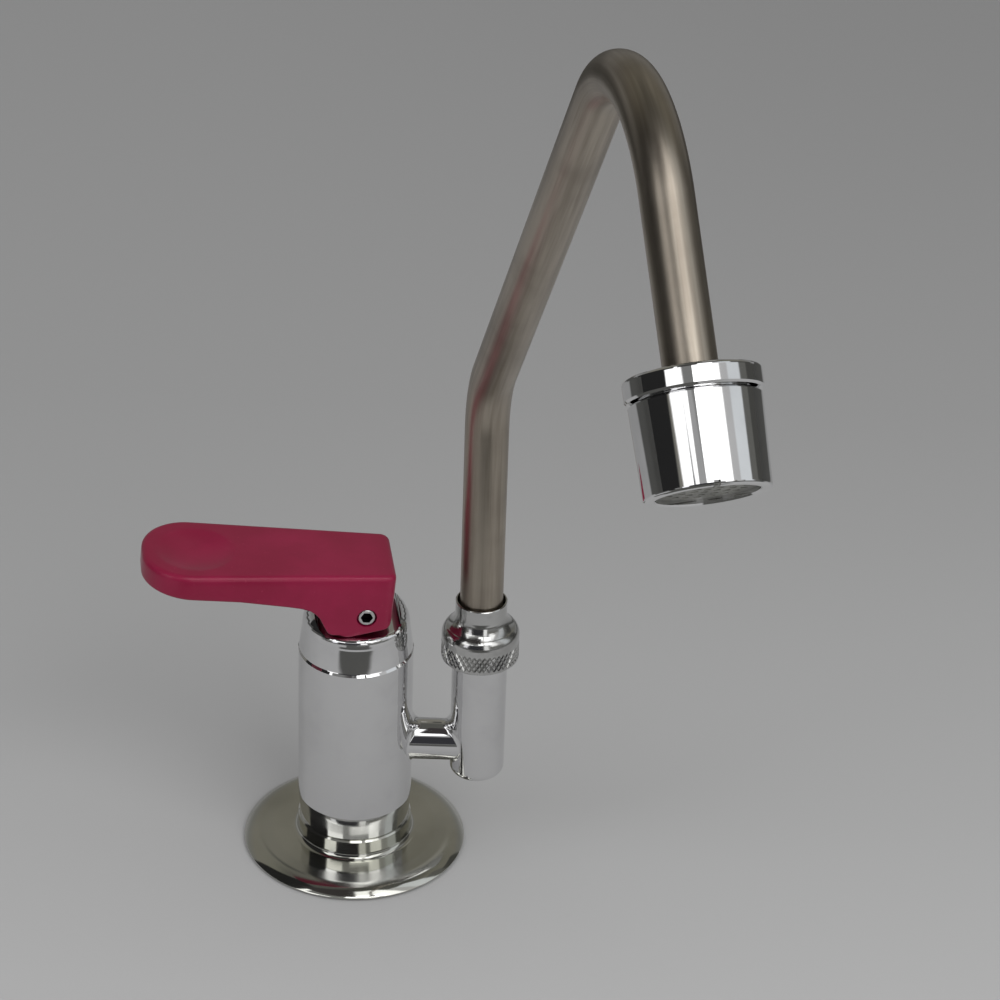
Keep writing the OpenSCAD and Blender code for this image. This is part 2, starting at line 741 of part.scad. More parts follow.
module flow_straightener() {
    color([0.55, 0.56, 0.56]) at_nozzle() difference() {
        translate([0, 0, straightener_top]) cylinder(r = shell_bore_r - 0.04, h = straightener_h);
        translate([0, 0, straightener_top - 1]) {
            cylinder(r = jet_r, h = 10);
            for (ring = [1 : 3], i = [0 : 6 * ring - 1])
                rotate([0, 0, i * 60 / ring]) translate([ring * jet_pitch, 0, 0])
                    cylinder(r = jet_r, h = 10);
        }
    }
}

base_flange();
deck_gasket();
shank();
backing_washer();
clamp_washer();
lock_nut();
inlet_pipe();
body();
valve_seat();
side_arm();
spout_socket();
bonnet();
bonnet_ring();
stem();
seat_washer();
washer_screw();
stem_ring();
stem_spring();
lever();
pivot_screw();
knurled_nut();
glide_ring();
retaining_ring();
spout_tail();
tail_ring(tail_ring_zs[0]);  // tail_ring_low
tail_ring(tail_ring_zs[1]);  // tail_ring_high
spout_tube();
nozzle_collar();
nozzle_ring();
nozzle_shell();
flow_straightener();
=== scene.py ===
import json
import math

import bmesh
import bpy
from mathutils import Matrix, Vector


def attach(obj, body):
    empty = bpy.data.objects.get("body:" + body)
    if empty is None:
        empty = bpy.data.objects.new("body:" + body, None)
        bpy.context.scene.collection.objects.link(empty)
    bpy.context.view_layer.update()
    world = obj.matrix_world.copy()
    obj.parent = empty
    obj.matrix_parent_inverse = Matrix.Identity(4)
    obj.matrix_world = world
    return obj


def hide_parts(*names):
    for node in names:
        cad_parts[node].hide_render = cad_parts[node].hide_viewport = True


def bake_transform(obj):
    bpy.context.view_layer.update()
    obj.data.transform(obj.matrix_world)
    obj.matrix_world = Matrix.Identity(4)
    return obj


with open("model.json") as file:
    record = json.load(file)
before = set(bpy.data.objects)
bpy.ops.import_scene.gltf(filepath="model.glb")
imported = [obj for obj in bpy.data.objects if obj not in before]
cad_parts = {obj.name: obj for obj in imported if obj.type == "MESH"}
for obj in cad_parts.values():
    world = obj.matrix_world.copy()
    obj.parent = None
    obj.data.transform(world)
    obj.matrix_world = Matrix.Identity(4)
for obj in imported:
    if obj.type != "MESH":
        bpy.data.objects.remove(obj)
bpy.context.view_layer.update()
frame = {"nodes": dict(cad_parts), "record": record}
nodes = frame["nodes"]
print("stage: frame loaded,", len(nodes), "nodes")

mm = 0.001


class Wire:  # an output socket that can stand in a sum
    def __init__(self, finish, socket):
        self.finish = finish
        self.socket = socket

    def __add__(self, other):
        return self.finish.maths("ADD", self, other)

    def __sub__(self, other):
        return self.finish.maths("SUBTRACT", self, other)

    def __rsub__(self, other):
        return self.finish.maths("SUBTRACT", other, self)

    def __mul__(self, other):
        return self.finish.maths("MULTIPLY", self, other)

    def __truediv__(self, other):
        return self.finish.maths("DIVIDE", self, other)

    __radd__ = __add__
    __rmul__ = __mul__

    def clipped(self, low, high):  # 0 at low, 1 at high, smooth between
        settings = {"interpolation_type": "SMOOTHSTEP", "clamp": True}
        return self.finish.node("ShaderNodeMapRange", settings, {0: self, 1: low, 2: high})

    def within(self, low, high, soft):  # 1 from low to high, with a soft edge outside
        return self.clipped(low - soft, low) * (1 - self.clipped(high, high + soft))


class Finish:  # a material, or the room round the part, under construction
    def __init__(self, holder):
        self.holder = holder
        holder.use_nodes = True
        self.tree = holder.node_tree
        self.tree.nodes.clear()

    def add(self, kind, settings=None, sockets=None):
        made = self.tree.nodes.new(kind)
        for name, value in (settings or {}).items():
            if name == "stops":
                ramp = made.color_ramp
                while len(ramp.elements) < len(value):
                    ramp.elements.new(0.5)
                for element, (place, colour) in zip(ramp.elements, value):
                    element.position = place
                    element.color = (*colour, 1)
            else:
                setattr(made, name, value)
        for name, value in (sockets or {}).items():
            self.plug(made.inputs[name], value)
        return made

    def node(self, kind, settings=None, sockets=None, out=0):
        return Wire(self, self.add(kind, settings, sockets).outputs[out])

    def plug(self, socket, value):
        if isinstance(value, Wire):
            self.tree.links.new(value.socket, socket)
        elif socket.type == "RGBA" and len(value) == 3:
            socket.default_value = (*value, 1)
        else:
            socket.default_value = value

    def maths(self, operation, first, second=0.0):
        return self.node("ShaderNodeMath", {"operation": operation}, {0: first, 1: second})

    def vectors(self, operation, first, second, out=0):
        return self.node("ShaderNodeVectorMath", {"operation": operation}, {0: first, 1: second}, out)

    def split(self, vector):
        made = self.add("ShaderNodeSeparateXYZ", None, {0: vector})
        return [Wire(self, socket) for socket in made.outputs]

    def place(self, scale=(1, 1, 1), source="Object"):
        outputs = {"UV": 2, "Object": 3}
        coords = self.node("ShaderNodeTexCoord", out=outputs[source])
        return self.node("ShaderNodeMapping", None, {"Vector": coords, "Scale": scale})

    def noise(self, scale, detail=3.0, rough=0.55, where=None):
        sockets = {"Scale": scale, "Detail": detail, "Roughness": rough}
        if where is not None:
            sockets["Vector"] = where
        return self.node("ShaderNodeTexNoise", None, sockets)

    def ramp(self, factor, stops):
        return self.node("ShaderNodeValToRGB", {"stops": stops}, {0: factor})

    def blend(self, factor, first, second):
        settings = {"data_type": "RGBA", "clamp_factor": True}
        return self.node("ShaderNodeMix", settings, {0: factor, 6: first, 7: second}, out=2)

    def bump(self, height, strength, distance):
        return self.node("ShaderNodeBump", None,
                         {"Height": height, "Strength": strength, "Distance": distance})

    def surface(self, **sockets):
        named = {name.replace("_", " "): value for name, value in sockets.items()}
        shader = self.node("ShaderNodeBsdfPrincipled", None, named)
        self.add("ShaderNodeOutputMaterial", None, {"Surface": shader})
        return self.holder


def finishCalled(name):
    return Finish(bpy.data.materials.new(name))


def chromeFinish(name, look):
    f = finishCalled(name)
    where = f.place()
    smear = f.noise(look["smearScale"], 4.0, 0.6, where)
    fine = f.noise(look["dustScale"], 2.0, 0.5, where)
    haze = smear.clipped(*look["hazeFrom"])
    tone = f.blend(haze, look["bright"], look["dull"])
    rough = look["rough"] + haze * look["hazeRough"]
    return f.surface(Base_Color=tone, Metallic=1.0, Roughness=rough,
                     Normal=f.bump(fine, look["ripple"], bumpDeep["chrome"]))


def turnedFinish(name, look):  # fine rings round an upright axis
    f = finishCalled(name)
    where = f.place()
    x, y, z = f.split(where)
    away = f.maths("SQRT", x * x + y * y)
    level = f.node("ShaderNodeCombineXYZ", None, {0: away * ringStretch, 1: z * ringStretch, 2: ringSeed})
    rings = f.noise(look["ringScale"], 2.0, 0.7, level)
    cloud = f.noise(look["cloudScale"], 3.0, 0.5, where)
    tone = f.blend(cloud.clipped(*toneShare), look["bright"], look["dull"])
    rough = look["rough"] + rings * look["ringRough"] + cloud * look["cloudRough"]
    if "brushed" in look:  # spun matt between two radii, polished outside them
        rough = rough + away.within(*look["brushed"], look["brushedSoft"]) * look["brushedRough"]
    return f.surface(Base_Color=tone, Metallic=1.0, Roughness=rough,
                     Normal=f.bump(rings, look["ripple"], bumpDeep["rings"]))


def screwFinish(name, look):  # turned round the lever's pin, with painted shade down its hexagon socket
    f = finishCalled(name)
    offset = f.vectors("SUBTRACT", f.place(), look["centre"])
    along = f.vectors("DOT_PRODUCT", offset, look["axis"], out=1)
    across = f.vectors("CROSS_PRODUCT", offset, look["axis"])
    away = f.vectors("LENGTH", across, (0, 0, 0), out=1)
    rings = f.noise(look["ringScale"], 2.0, 0.7, f.node("ShaderNodeCombineXYZ", None, {0: away, 1: along}))
    tone = f.blend(rings.clipped(*toneShare), look["bright"], look["dull"])
    # painted shade: the hexagon socket's walls are coloured near black and rougher, standing in for the
    # shade down the recess
    inside = along.clipped(*look["depth"]) * (1 - away.clipped(*look["corner"]))
    tone = f.blend(inside, tone, look["socket"])
    return f.surface(Base_Color=tone, Metallic=1.0, Roughness=look["rough"] + inside * look["socketRough"],
                     Normal=f.bump(rings, look["ripple"], bumpDeep["rings"]))


def brushedFinish(name, look):  # brush marks run round the tube, with darker smears along it
    f = finishCalled(name)
    marks = f.noise(1.0, 3.0, 0.75, f.place(scale=look["markScale"], source="UV"))
    streak = f.noise(1.0, 3.0, 0.6, f.place(scale=look["streakScale"], source="UV"))
    cloud = f.noise(look["cloudScale"], 3.0, 0.55, f.place())
    tone = f.blend(streak.clipped(*toneShare), look["bright"], look["dull"])
    tone = f.blend(cloud.clipped(*look["stainFrom"]) * look["stainShare"], tone, look["stain"])
    rough = look["rough"] + marks * look["markRough"] + streak * look["streakRough"]
    return f.surface(Base_Color=tone, Metallic=1.0, Roughness=rough,
                     Normal=f.bump(marks, look["ripple"], bumpDeep["brush"]))


def coatFinish(name, look):  # satin coat with a faint orange peel and faint paler specks
    f = finishCalled(name)
    where = f.place()
    peel = f.noise(look["peelScale"], 2.0, 0.5, where)
    cloud = f.noise(look["cloudScale"], 4.0, 0.6, where)
    speck = f.noise(look["speckScale"], 1.0, 0.4, where)
    tone = f.blend(cloud.clipped(*toneShare), look["deep"], look["bright"])
    tone = f.blend(speck.clipped(*look["speckFrom"]) * look["speckShare"], tone, look["speck"])
    rough = look["rough"] + cloud * look["cloudRough"]
    return f.surface(Base_Color=tone, Roughness=rough, IOR=look["index"], Coat_Weight=look["coat"],
                     Coat_Roughness=look["coatRough"], Normal=f.bump(peel, look["ripple"], bumpDeep["peel"]))


def plainFinish(name, look):  # rubber and moulded plastic
    f = finishCalled(name)
    where = f.place()
    grain = f.noise(look["grainScale"], 3.0, 0.6, where)
    cloud = f.noise(look["cloudScale"], 2.0, 0.5, where)
    tone = f.blend(cloud.clipped(*look["dullFrom"]), look["bright"], look["dull"])
    rough = look["rough"] + grain * look["grainRough"]
    return f.surface(Base_Color=tone, Roughness=rough,
                     Normal=f.bump(grain, look["ripple"], bumpDeep["grain"]))


rayIs = {"camera": 0, "glossy": 3}  # outputs of the light path
backFace = 6  # output of the geometry node
toneShare = (0.35, 0.7)  # noise values between which one tone turns into the other
ringStretch, ringSeed = 6.0, 0.37
bumpDeep = {"chrome": 0.00002, "rings": 0.00001, "brush": 0.00002, "peel": 0.00004, "grain": 0.00005}

chromeLook = {"bright": (0.75, 0.75, 0.755), "dull": (0.67, 0.67, 0.675), "rough": 0.035,
              "hazeRough": 0.05, "hazeFrom": (0.42, 0.75), "smearScale": 55.0, "dustScale": 420.0,
              "ripple": 0.06}
knurlLook = {"bright": (0.56, 0.56, 0.55), "dull": (0.44, 0.44, 0.43), "rough": 0.12,
             "hazeRough": 0.1, "hazeFrom": (0.42, 0.75), "smearScale": 160.0, "dustScale": 700.0,
             "ripple": 0.15}
flangeLook = {"bright": (0.64, 0.64, 0.60), "dull": (0.50, 0.50, 0.46), "rough": 0.04,
              "ringRough": 0.05, "cloudRough": 0.05, "ringScale": 300.0, "cloudScale": 40.0,
              "ripple": 0.07, "brushed": (0.0200, 0.0238), "brushedSoft": 0.0010, "brushedRough": 0.10}
screwLook = {"bright": (0.66, 0.66, 0.65), "dull": (0.50, 0.50, 0.49), "rough": 0.18,
             "ringRough": 0.18, "cloudRough": 0.08, "ringScale": 420.0, "cloudScale": 200.0,
             "ripple": 0.25}
# socket: near-black colour of the painted shade down the hexagon socket
pinLook = {"bright": (0.72, 0.72, 0.71), "dull": (0.58, 0.58, 0.57), "socket": (0.03, 0.03, 0.03),
           "centre": (0.001385, 0.000207, 0.068782), "axis": (-0.14781, 0.98902, 0.0),
           "depth": (-0.01004, -0.0098), "corner": (0.00145, 0.0015), "rough": 0.22,
           "socketRough": 0.4, "ringScale": 2500.0, "ripple": 0.2}
brassLook = {"bright": (0.76, 0.60, 0.28), "dull": (0.58, 0.43, 0.19), "rough": 0.16,
             "ringRough": 0.16, "cloudRough": 0.1, "ringScale": 380.0, "cloudScale": 120.0,
             "ripple": 0.25}
copperLook = {"bright": (0.80, 0.42, 0.26), "dull": (0.52, 0.25, 0.15), "rough": 0.2,
              "ringRough": 0.08, "cloudRough": 0.14, "ringScale": 200.0, "cloudScale": 90.0,
              "ripple": 0.15}
tubeLook = {"bright": (0.46, 0.41, 0.345), "dull": (0.31, 0.27, 0.225), "stain": (0.22, 0.19, 0.155),
            "rough": 0.27, "markRough": 0.10, "markScale": (6.0, 900.0, 1.0),
            "streakScale": (14.0, 16.0, 1.0), "streakRough": 0.06, "cloudScale": 38.0,
            "stainFrom": (0.45, 0.8), "stainShare": 0.6, "ripple": 0.10}
coatLook = {"bright": (0.245, 0.005, 0.042), "deep": (0.205, 0.003, 0.032),
            "speck": (0.34, 0.04, 0.09), "speckFrom": (0.7, 0.8), "speckShare": 0.3, "rough": 0.34,
            "cloudRough": 0.12, "coat": 0.2, "coatRough": 0.12, "index": 1.4, "peelScale": 500.0,
            "cloudScale": 60.0, "speckScale": 1500.0, "ripple": 0.12}
rubberLook = {"bright": (0.028, 0.028, 0.030), "dull": (0.018, 0.018, 0.019), "rough": 0.6,
              "grainRough": 0.25, "grainScale": 900.0, "cloudScale": 90.0, "dullFrom": (0.3, 0.7),
              "ripple": 0.3}
glideLook = {"bright": (0.80, 0.80, 0.76), "dull": (0.70, 0.70, 0.66), "rough": 0.35,
             "grainRough": 0.15, "grainScale": 700.0, "cloudScale": 120.0, "dullFrom": (0.3, 0.7),
             "ripple": 0.1}
insertLook = {"bright": (0.24, 0.24, 0.22), "dull": (0.17, 0.17, 0.155), "rough": 0.42,
              "grainRough": 0.2, "grainScale": 800.0, "cloudScale": 150.0, "dullFrom": (0.3, 0.7),
              "ripple": 0.15}

finishes = {
    "chrome": chromeFinish("chromePlate", chromeLook),
    "polished_steel": turnedFinish("polishedFlange", flangeLook),
    "brushed_tube": brushedFinish("brushedTube", tubeLook),
    "crimson_coat": coatFinish("crimsonCoat", coatLook),
    "screw_steel": turnedFinish("turnedSteel", screwLook),
    "brass": turnedFinish("turnedBrass", brassLook),
    "copper": turnedFinish("drawnCopper", copperLook),
    "rubber": plainFinish("blackRubber", rubberLook),
    "glide_plastic": plainFinish("slipPlastic", glideLook),
    "insert_plastic": plainFinish("greyInsert", insertLook),
}
slotOf = {part["node"]: part["material_slot"] for part in frame["record"]["subparts"]}
ownFinish = {"knurled_nut": chromeFinish("wornKnurl", knurlLook),
             "pivot_screw": screwFinish("hexagonScrew", pinLook)}
for name, obj in nodes.items():
    for holder in obj.material_slots:
        holder.material = ownFinish.get(name, finishes[slotOf[name]])
print("stage: finishes on", len(nodes), "nodes")


def objectFrom(name, shape):
    data = bpy.data.meshes.new(name)
    shape.to_mesh(data)
    shape.free()
    made = bpy.data.objects.new(name, data)
    bpy.context.collection.objects.link(made)
    return made


def meshPiece(name, shape, slot, sharp=32):
    bmesh.ops.recalc_face_normals(shape, faces=shape.faces)
    piece = objectFrom(name, shape)
    piece.data.materials.append(finishes[slot])
    for face in piece.data.polygons:
        face.use_smooth = True
    piece.data.set_sharp_from_angle(angle=math.radians(sharp))
    return piece


def joinRings(shape, rings):  # a band of faces between each ring and the next
    for first, second in zip(rings, rings[1:]):
        for k in range(len(first)):
            n = (k + 1) % len(first)
            shape.faces.new((first[k], first[n], second[n], second[k]))


# Spout tube: one smooth swept skin with its length and turn in its UV map
tube = {"outer": 5.0, "bore": 4.0, "reach": 29.0, "turn": -76.0, "start": 49.0, "riserTop": 114.3,
        "slope": 36.8699, "slopeLen": 125.8, "leg": 41.2194, "legLen": 39.2, "bend": 30.0,
        "sides": 72, "bendStep": 3.0, "riserSteps": 12, "slopeSteps": 24, "legSteps": 8, "rim": 1.0}


def tubePath():
    places = []  # distance along, place and direction in the spout's own plane
    run, at, lean = 0.0, Vector((0, tube["start"])), 0.0

    def straight(length, count):
        nonlocal run, at
        for i in range(1, count + 1):
            step = length / count
            at = at + Vector((math.sin(lean), math.cos(lean))) * step
            run += step
            places.append((run, at.copy(), lean))

    def curve(angle):
        nonlocal run, at, lean
        count = max(2, round(angle / tube["bendStep"]))
        centre = at + Vector((math.cos(lean), -math.sin(lean))) * tube["bend"]
        for i in range(count):
            lean += math.radians(angle) / count
            run += tube["bend"] * math.radians(angle) / count
            at = centre - Vector((math.cos(lean), -math.sin(lean))) * tube["bend"]
            places.append((run, at.copy(), lean))

    places.append((run, at.copy(), lean))
    straight(tube["riserTop"] - tube["start"], tube["riserSteps"])
    curve(tube["slope"])
    straight(tube["slopeLen"], tube["slopeSteps"])
    curve(180 - tube["slope"] - tube["leg"])
    straight(tube["legLen"], tube["legSteps"])
    return places


def sweptTube():
    shape = bmesh.new()
    uv = shape.loops.layers.uv.new("UVMap")
    turn = math.radians(tube["turn"])
    out = Vector((math.cos(turn), math.sin(turn), 0))
    side = Vector((-math.sin(turn), math.cos(turn), 0))
    path = tubePath()
    sides = tube["sides"]
    origin = Vector((tube["reach"], 0, 0))

    def ring(flat, lean, radius):
        centre = origin + out * flat.x + Vector((0, 0, flat.y))
        across = out * math.cos(lean) - Vector((0, 0, math.sin(lean)))
        made = []
        for k in range(sides):
            t = 2 * math.pi * k / sides
            spot = centre + (across * math.cos(t) + side * math.sin(t)) * radius
            made.append(shape.verts.new(spot * mm))
        return made

    def skin(first, second, runs):
        for k in range(sides):
            n = (k + 1) % sides
            face = shape.faces.new((first[k], first[n], second[n], second[k]))
            marks = ((k, runs[0]), (k + 1, runs[0]), (k + 1, runs[1]), (k, runs[1]))
            for loop, (turnMark, runMark) in zip(face.loops, marks):
                loop[uv].uv = (turnMark / sides, runMark * mm)

    outer = [ring(flat, lean, tube["outer"]) for run, flat, lean in path]
    inner = [ring(flat, lean, tube["bore"]) for run, flat, lean in path]
    for i in range(len(path) - 1):
        skin(outer[i], outer[i + 1], (path[i][0], path[i + 1][0]))
        skin(inner[i + 1], inner[i], (path[i + 1][0], path[i][0]))
    skin(inner[0], outer[0], (0.0, tube["rim"]))
    skin(outer[-1], inner[-1], (path[-1][0], path[-1][0] + tube["rim"]))
    piece = meshPiece("spoutTubeSkin", shape, "brushed_tube")
    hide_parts("spout_tube")
    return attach(piece, "spout")


sweptTube()
print("stage: spout tube swept")

# Turned parts: smooth skins over the flange and the body, each given by its half section
flange = {"bore": 8.2, "under": 0.3, "edge": 26.5, "lip": 0.22, "lipHigh": 0.52, "round": 6.0,
          "fall": 47, "rise": 0.05, "fillet": 1.5, "neck": 13.5, "top": 7.5, "seam": 0.35,
          "lipFrom": -60, "lipSteps": 6, "shoulderSteps": 24, "filletFrom": 268, "filletSteps": 16}
body = {"bore": 8.1, "foot": 7.5, "footR": 13.0, "seam": 0.35, "bandTop": 14.0, "radius": 13.5,
        "top": 55.0, "topEdge": 0.5, "mouth": 9.45, "mouthLow": 50.0}


def arcOf(centre, radius, start, end, count):
    angles = [math.radians(start + (end - start) * i / count) for i in range(count + 1)]
    return [(centre[0] + radius * math.cos(a), centre[1] + radius * math.sin(a)) for a in angles]


def flangeSection():
    lipAt = flange["edge"] - flange["lip"]
    fall, inner = math.radians(flange["fall"]), flange["round"] - flange["lip"]
    turn = 90 - flange["fall"]  # where the lip's arc runs into the shoulder's
    lip = arcOf((lipAt, flange["lipHigh"]), flange["lip"], flange["lipFrom"], turn, flange["lipSteps"])
    centre = (lipAt - inner * math.sin(fall), flange["lipHigh"] - inner * math.cos(fall))
    shoulder = arcOf(centre, flange["round"], turn, 90, flange["shoulderSteps"])[1:]
    foot, crown = flange["neck"] + flange["fillet"], centre[1] + flange["round"] + flange["rise"]
    fillet = arcOf((foot, crown + flange["fillet"]), flange["fillet"], flange["filletFrom"], 180,
                   flange["filletSteps"])
    neck = [(flange["neck"], flange["top"] - flange["seam"]),
            (flange["neck"] - flange["seam"], flange["top"]), (flange["bore"], flange["top"])]
    under = [(flange["bore"], flange["under"]), (lipAt, flange["under"])]
    return under + lip + shoulder + fillet + neck


def bodySection():
    foot, seam = body["foot"], body["seam"]
    return [(body["bore"], foot), (body["footR"] - seam, foot), (body["footR"], foot + seam),
            (body["radius"], body["bandTop"]), (body["radius"], body["top"] - body["topEdge"]),
            (body["radius"] - body["topEdge"], body["top"]), (body["mouth"], body["top"]),
            (body["mouth"], body["mouthLow"]), (body["bore"], body["mouthLow"])]


def turnedSkin(name, section, slot, node, sides=160, sharp=32):
    shape = bmesh.new()
    angles = [2 * math.pi * k / sides for k in range(sides)]
    rings = []
    for radius, height in section:
        rings.append([shape.verts.new((radius * math.cos(a) * mm, radius * math.sin(a) * mm, height * mm))
                      for a in angles])
    joinRings(shape, rings + rings[:1])
    piece = meshPiece(name, shape, slot, sharp)
    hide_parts(node)
    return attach(piece, "tap")


turnedSkin("flangeSkin", flangeSection(), "polished_steel", "base_flange")
turnedSkin("bodySkin", bodySection(), "chrome", "body", sharp=4)
print("stage: flange and body turned")

# Side arm: a tube whose ends flare smoothly on to the body and the socket
arm = {"height": 28.9, "radius": 5.0, "port": 2.75, "spigot": 3.98, "spigotEnds": (10.5, 23.5),
       "sides": 96, "wallSteps": 4, "flareSteps": 12,
       "ends": [{"wall": 13.47, "base": 0.0, "way": 1, "out": 0.5, "rise": 2.9, "drop": 0.8},
                {"wall": 6.47, "base": 29.0, "way": -1, "out": 0.4, "rise": 2.8, "drop": 0.7}],
       "flare": 0.75}


def armRing(shape, spot):
    made = []
    for k in range(arm["sides"]):
        a = 2 * math.pi * k / arm["sides"]
        x, r = spot(a)
        made.append(shape.verts.new((x * mm, r * math.cos(a) * mm, (arm["height"] + r * math.sin(a)) * mm)))
    return made


def armEnd(shape, end):  # rings from the spigot out along the wall, then over the flare to the arm
    def wallAt(a, r):
        return end["base"] + end["way"] * math.sqrt(end["wall"] ** 2 - (r * math.cos(a)) ** 2)

    def out(a):
        tall = math.sin(a) ** 2
        return end["out"] + tall * (end["rise"] if a < math.pi else end["drop"])

    def onWall(share):
        def spot(a):
            r = arm["spigot"] + (arm["radius"] + out(a) - arm["spigot"]) * share
            return wallAt(a, r), r
        return spot

    def onFlare(b):
        def spot(a):
            r = arm["radius"] + out(a) * (1 - math.sin(b))
            return wallAt(a, r) + end["way"] * arm["flare"] * out(a) * (1 - math.cos(b)), r
        return spot

    rings = [armRing(shape, onWall(i / arm["wallSteps"])) for i in range(arm["wallSteps"] + 1)]
    return rings + [armRing(shape, onFlare(math.pi / 2 * i / arm["flareSteps"]))
                    for i in range(1, arm["flareSteps"] + 1)]


def sideArm():
    shape = bmesh.new()
    low, high = arm["spigotEnds"]
    left, right = [armEnd(shape, end) for end in arm["ends"]]
    inner = [armRing(shape, lambda a, x=x, r=r: (x, r)) for x, r in
             ((high, arm["spigot"]), (high, arm["port"]), (low, arm["port"]), (low, arm["spigot"]))]
    rings = left + right[::-1] + inner
    joinRings(shape, rings + rings[:1])
    piece = meshPiece("armSkin", shape, "chrome")
    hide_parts("side_arm")
    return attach(piece, "tap")


sideArm()
print("stage: side arm shaped")

# Return spring: a coil of round wire, closed at both ends
spring = {"coil": 4.9, "wire": 0.5, "turns": 5, "low": 41.62, "high": 51.88, "collar": 41.1,
          "seat": 52.4, "steps": 48, "sides": 12}


def coilRing(shape, spin, height):
    out = Vector((math.cos(spin), math.sin(spin), 0))
    centre = out * spring["coil"] + Vector((0, 0, height))
    made = []
    for k in range(spring["sides"]):
        t = 2 * math.pi * k / spring["sides"]
        spot = centre + (out * math.cos(t) + Vector((0, 0, math.sin(t)))) * spring["wire"]
        made.append(shape.verts.new(spot * mm))
    return made


def springCoil():
    shape = bmesh.new()
    count = spring["turns"] * spring["steps"]
    rise = spring["high"] - spring["low"]
    rings = [coilRing(shape, 2 * math.pi * i / spring["steps"], spring["low"] + rise * i / count)
             for i in range(count + 1)]
    joinRings(shape, rings)
    shape.faces.new(rings[0])
    shape.faces.new(rings[-1])
    piece = meshPiece("returnCoil", shape, "screw_steel")
    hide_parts("stem_spring")
    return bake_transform(piece)


springCoil()
print("stage: return spring wound")

# Lever: loops round the paddle's outline, from the underside over the edge to the dished top
lever = {"turn": 8.5, "tilt": 5.0, "pin": 68.782, "offset": 1.4, "top": 11.0, "reach": 51.7,
         "hubEnd": 6.1, "hubHalf": 10.0, "hubCorner": 2.4, "tipHalf": 12.6, "tipRound": 10.8,
         "edge": 1.3, "lowEdge": 0.5, "dishBack": 12.0, "dishR": 9.0, "dishDepth": 1.3,
         "dishSoft": 0.07, "screwR": 2.17, "ringR": 2.35, "ringDepth": 2.0, "slotHalf": 2.7,
         "slotR": 5.0, "slotDeep": 8.0, "beyond": 20.0, "screwFrom": -6.7, "sharp": 32,
         "faceSteps": 10, "hubSteps": 12, "flankSteps": 96, "tipSteps": 36, "lowSteps": 4,
         "highSteps": 6, "topSteps": 24, "underSteps": 12, "edgeShares": (0.25, 0.5, 0.75),
         "ridge": 1, "weld": 0.00001}
leverUnder = [(-60, 5.6), (-51.7, 5.6), (-40, 4.9), (-29.5, 4.3), (-18.4, 2.9), (-15.2, 2.39),
              (-13.2, 1.73), (-11.9, 0.85), (-10.9, -0.2), (-8.8, -4.1), (-7.9, -4.75),
              (-5.72, -4.86), (-4.9, -5.26), (-4.0, -5.4), (-3.22, -5.3), (4.99, -3.25),
              (5.66, -2.86), (6.1, -1.8), (8, -1.0)]


def underside(x):
    for (x0, z0), (x1, z1) in zip(leverUnder, leverUnder[1:]):
        if x <= x1:
            return z0 + (z1 - z0) * (x - x0) / (x1 - x0)
    return leverUnder[-1][1]


def topside(x, y):
    away = math.hypot(x + lever["reach"] - lever["dishBack"], y)
    ball = (lever["dishR"] ** 2 / lever["dishDepth"] + lever["dishDepth"]) / 2
    inside = lever["dishDepth"] - ball + math.sqrt(max(0.0, ball ** 2 - away ** 2))
    soft = lever["dishSoft"]
    return lever["top"] - soft * math.log1p(math.exp(inside / soft))


def leverOutline():
    tip = Vector((lever["tipRound"] - lever["reach"], lever["tipHalf"] - lever["tipRound"]))
    hub = Vector((lever["hubEnd"] - lever["hubCorner"], lever["hubHalf"] - lever["hubCorner"]))
    gap = tip - hub
    lean = math.asin((lever["tipRound"] - lever["hubCorner"]) / gap.length)
    flat = math.atan2(gap.y, gap.x)
    facing = flat + math.pi * 1.5 - lean  # where both corners share a tangent
    half = []

    def corner(centre, radius, start, end, count):
        for i in range(count + 1):
            a = start + (end - start) * i / count
            half.append((centre + Vector((math.cos(a), math.sin(a))) * radius, a))

    for i in range(lever["faceSteps"]):
        half.append((Vector((lever["hubEnd"], hub.y * i / lever["faceSteps"])), 0.0))
    corner(hub, lever["hubCorner"], 0.0, facing, lever["hubSteps"])
    first, second = half[-1][0], tip + Vector((math.cos(facing), math.sin(facing))) * lever["tipRound"]
    for i in range(1, lever["flankSteps"]):
        half.append((first.lerp(second, i / lever["flankSteps"]), facing))
    corner(tip, lever["tipRound"], facing, math.pi, lever["tipSteps"])
    other = [(Vector((spot.x, -spot.y)), -a) for spot, a in reversed(half[1:])]
    return half + other


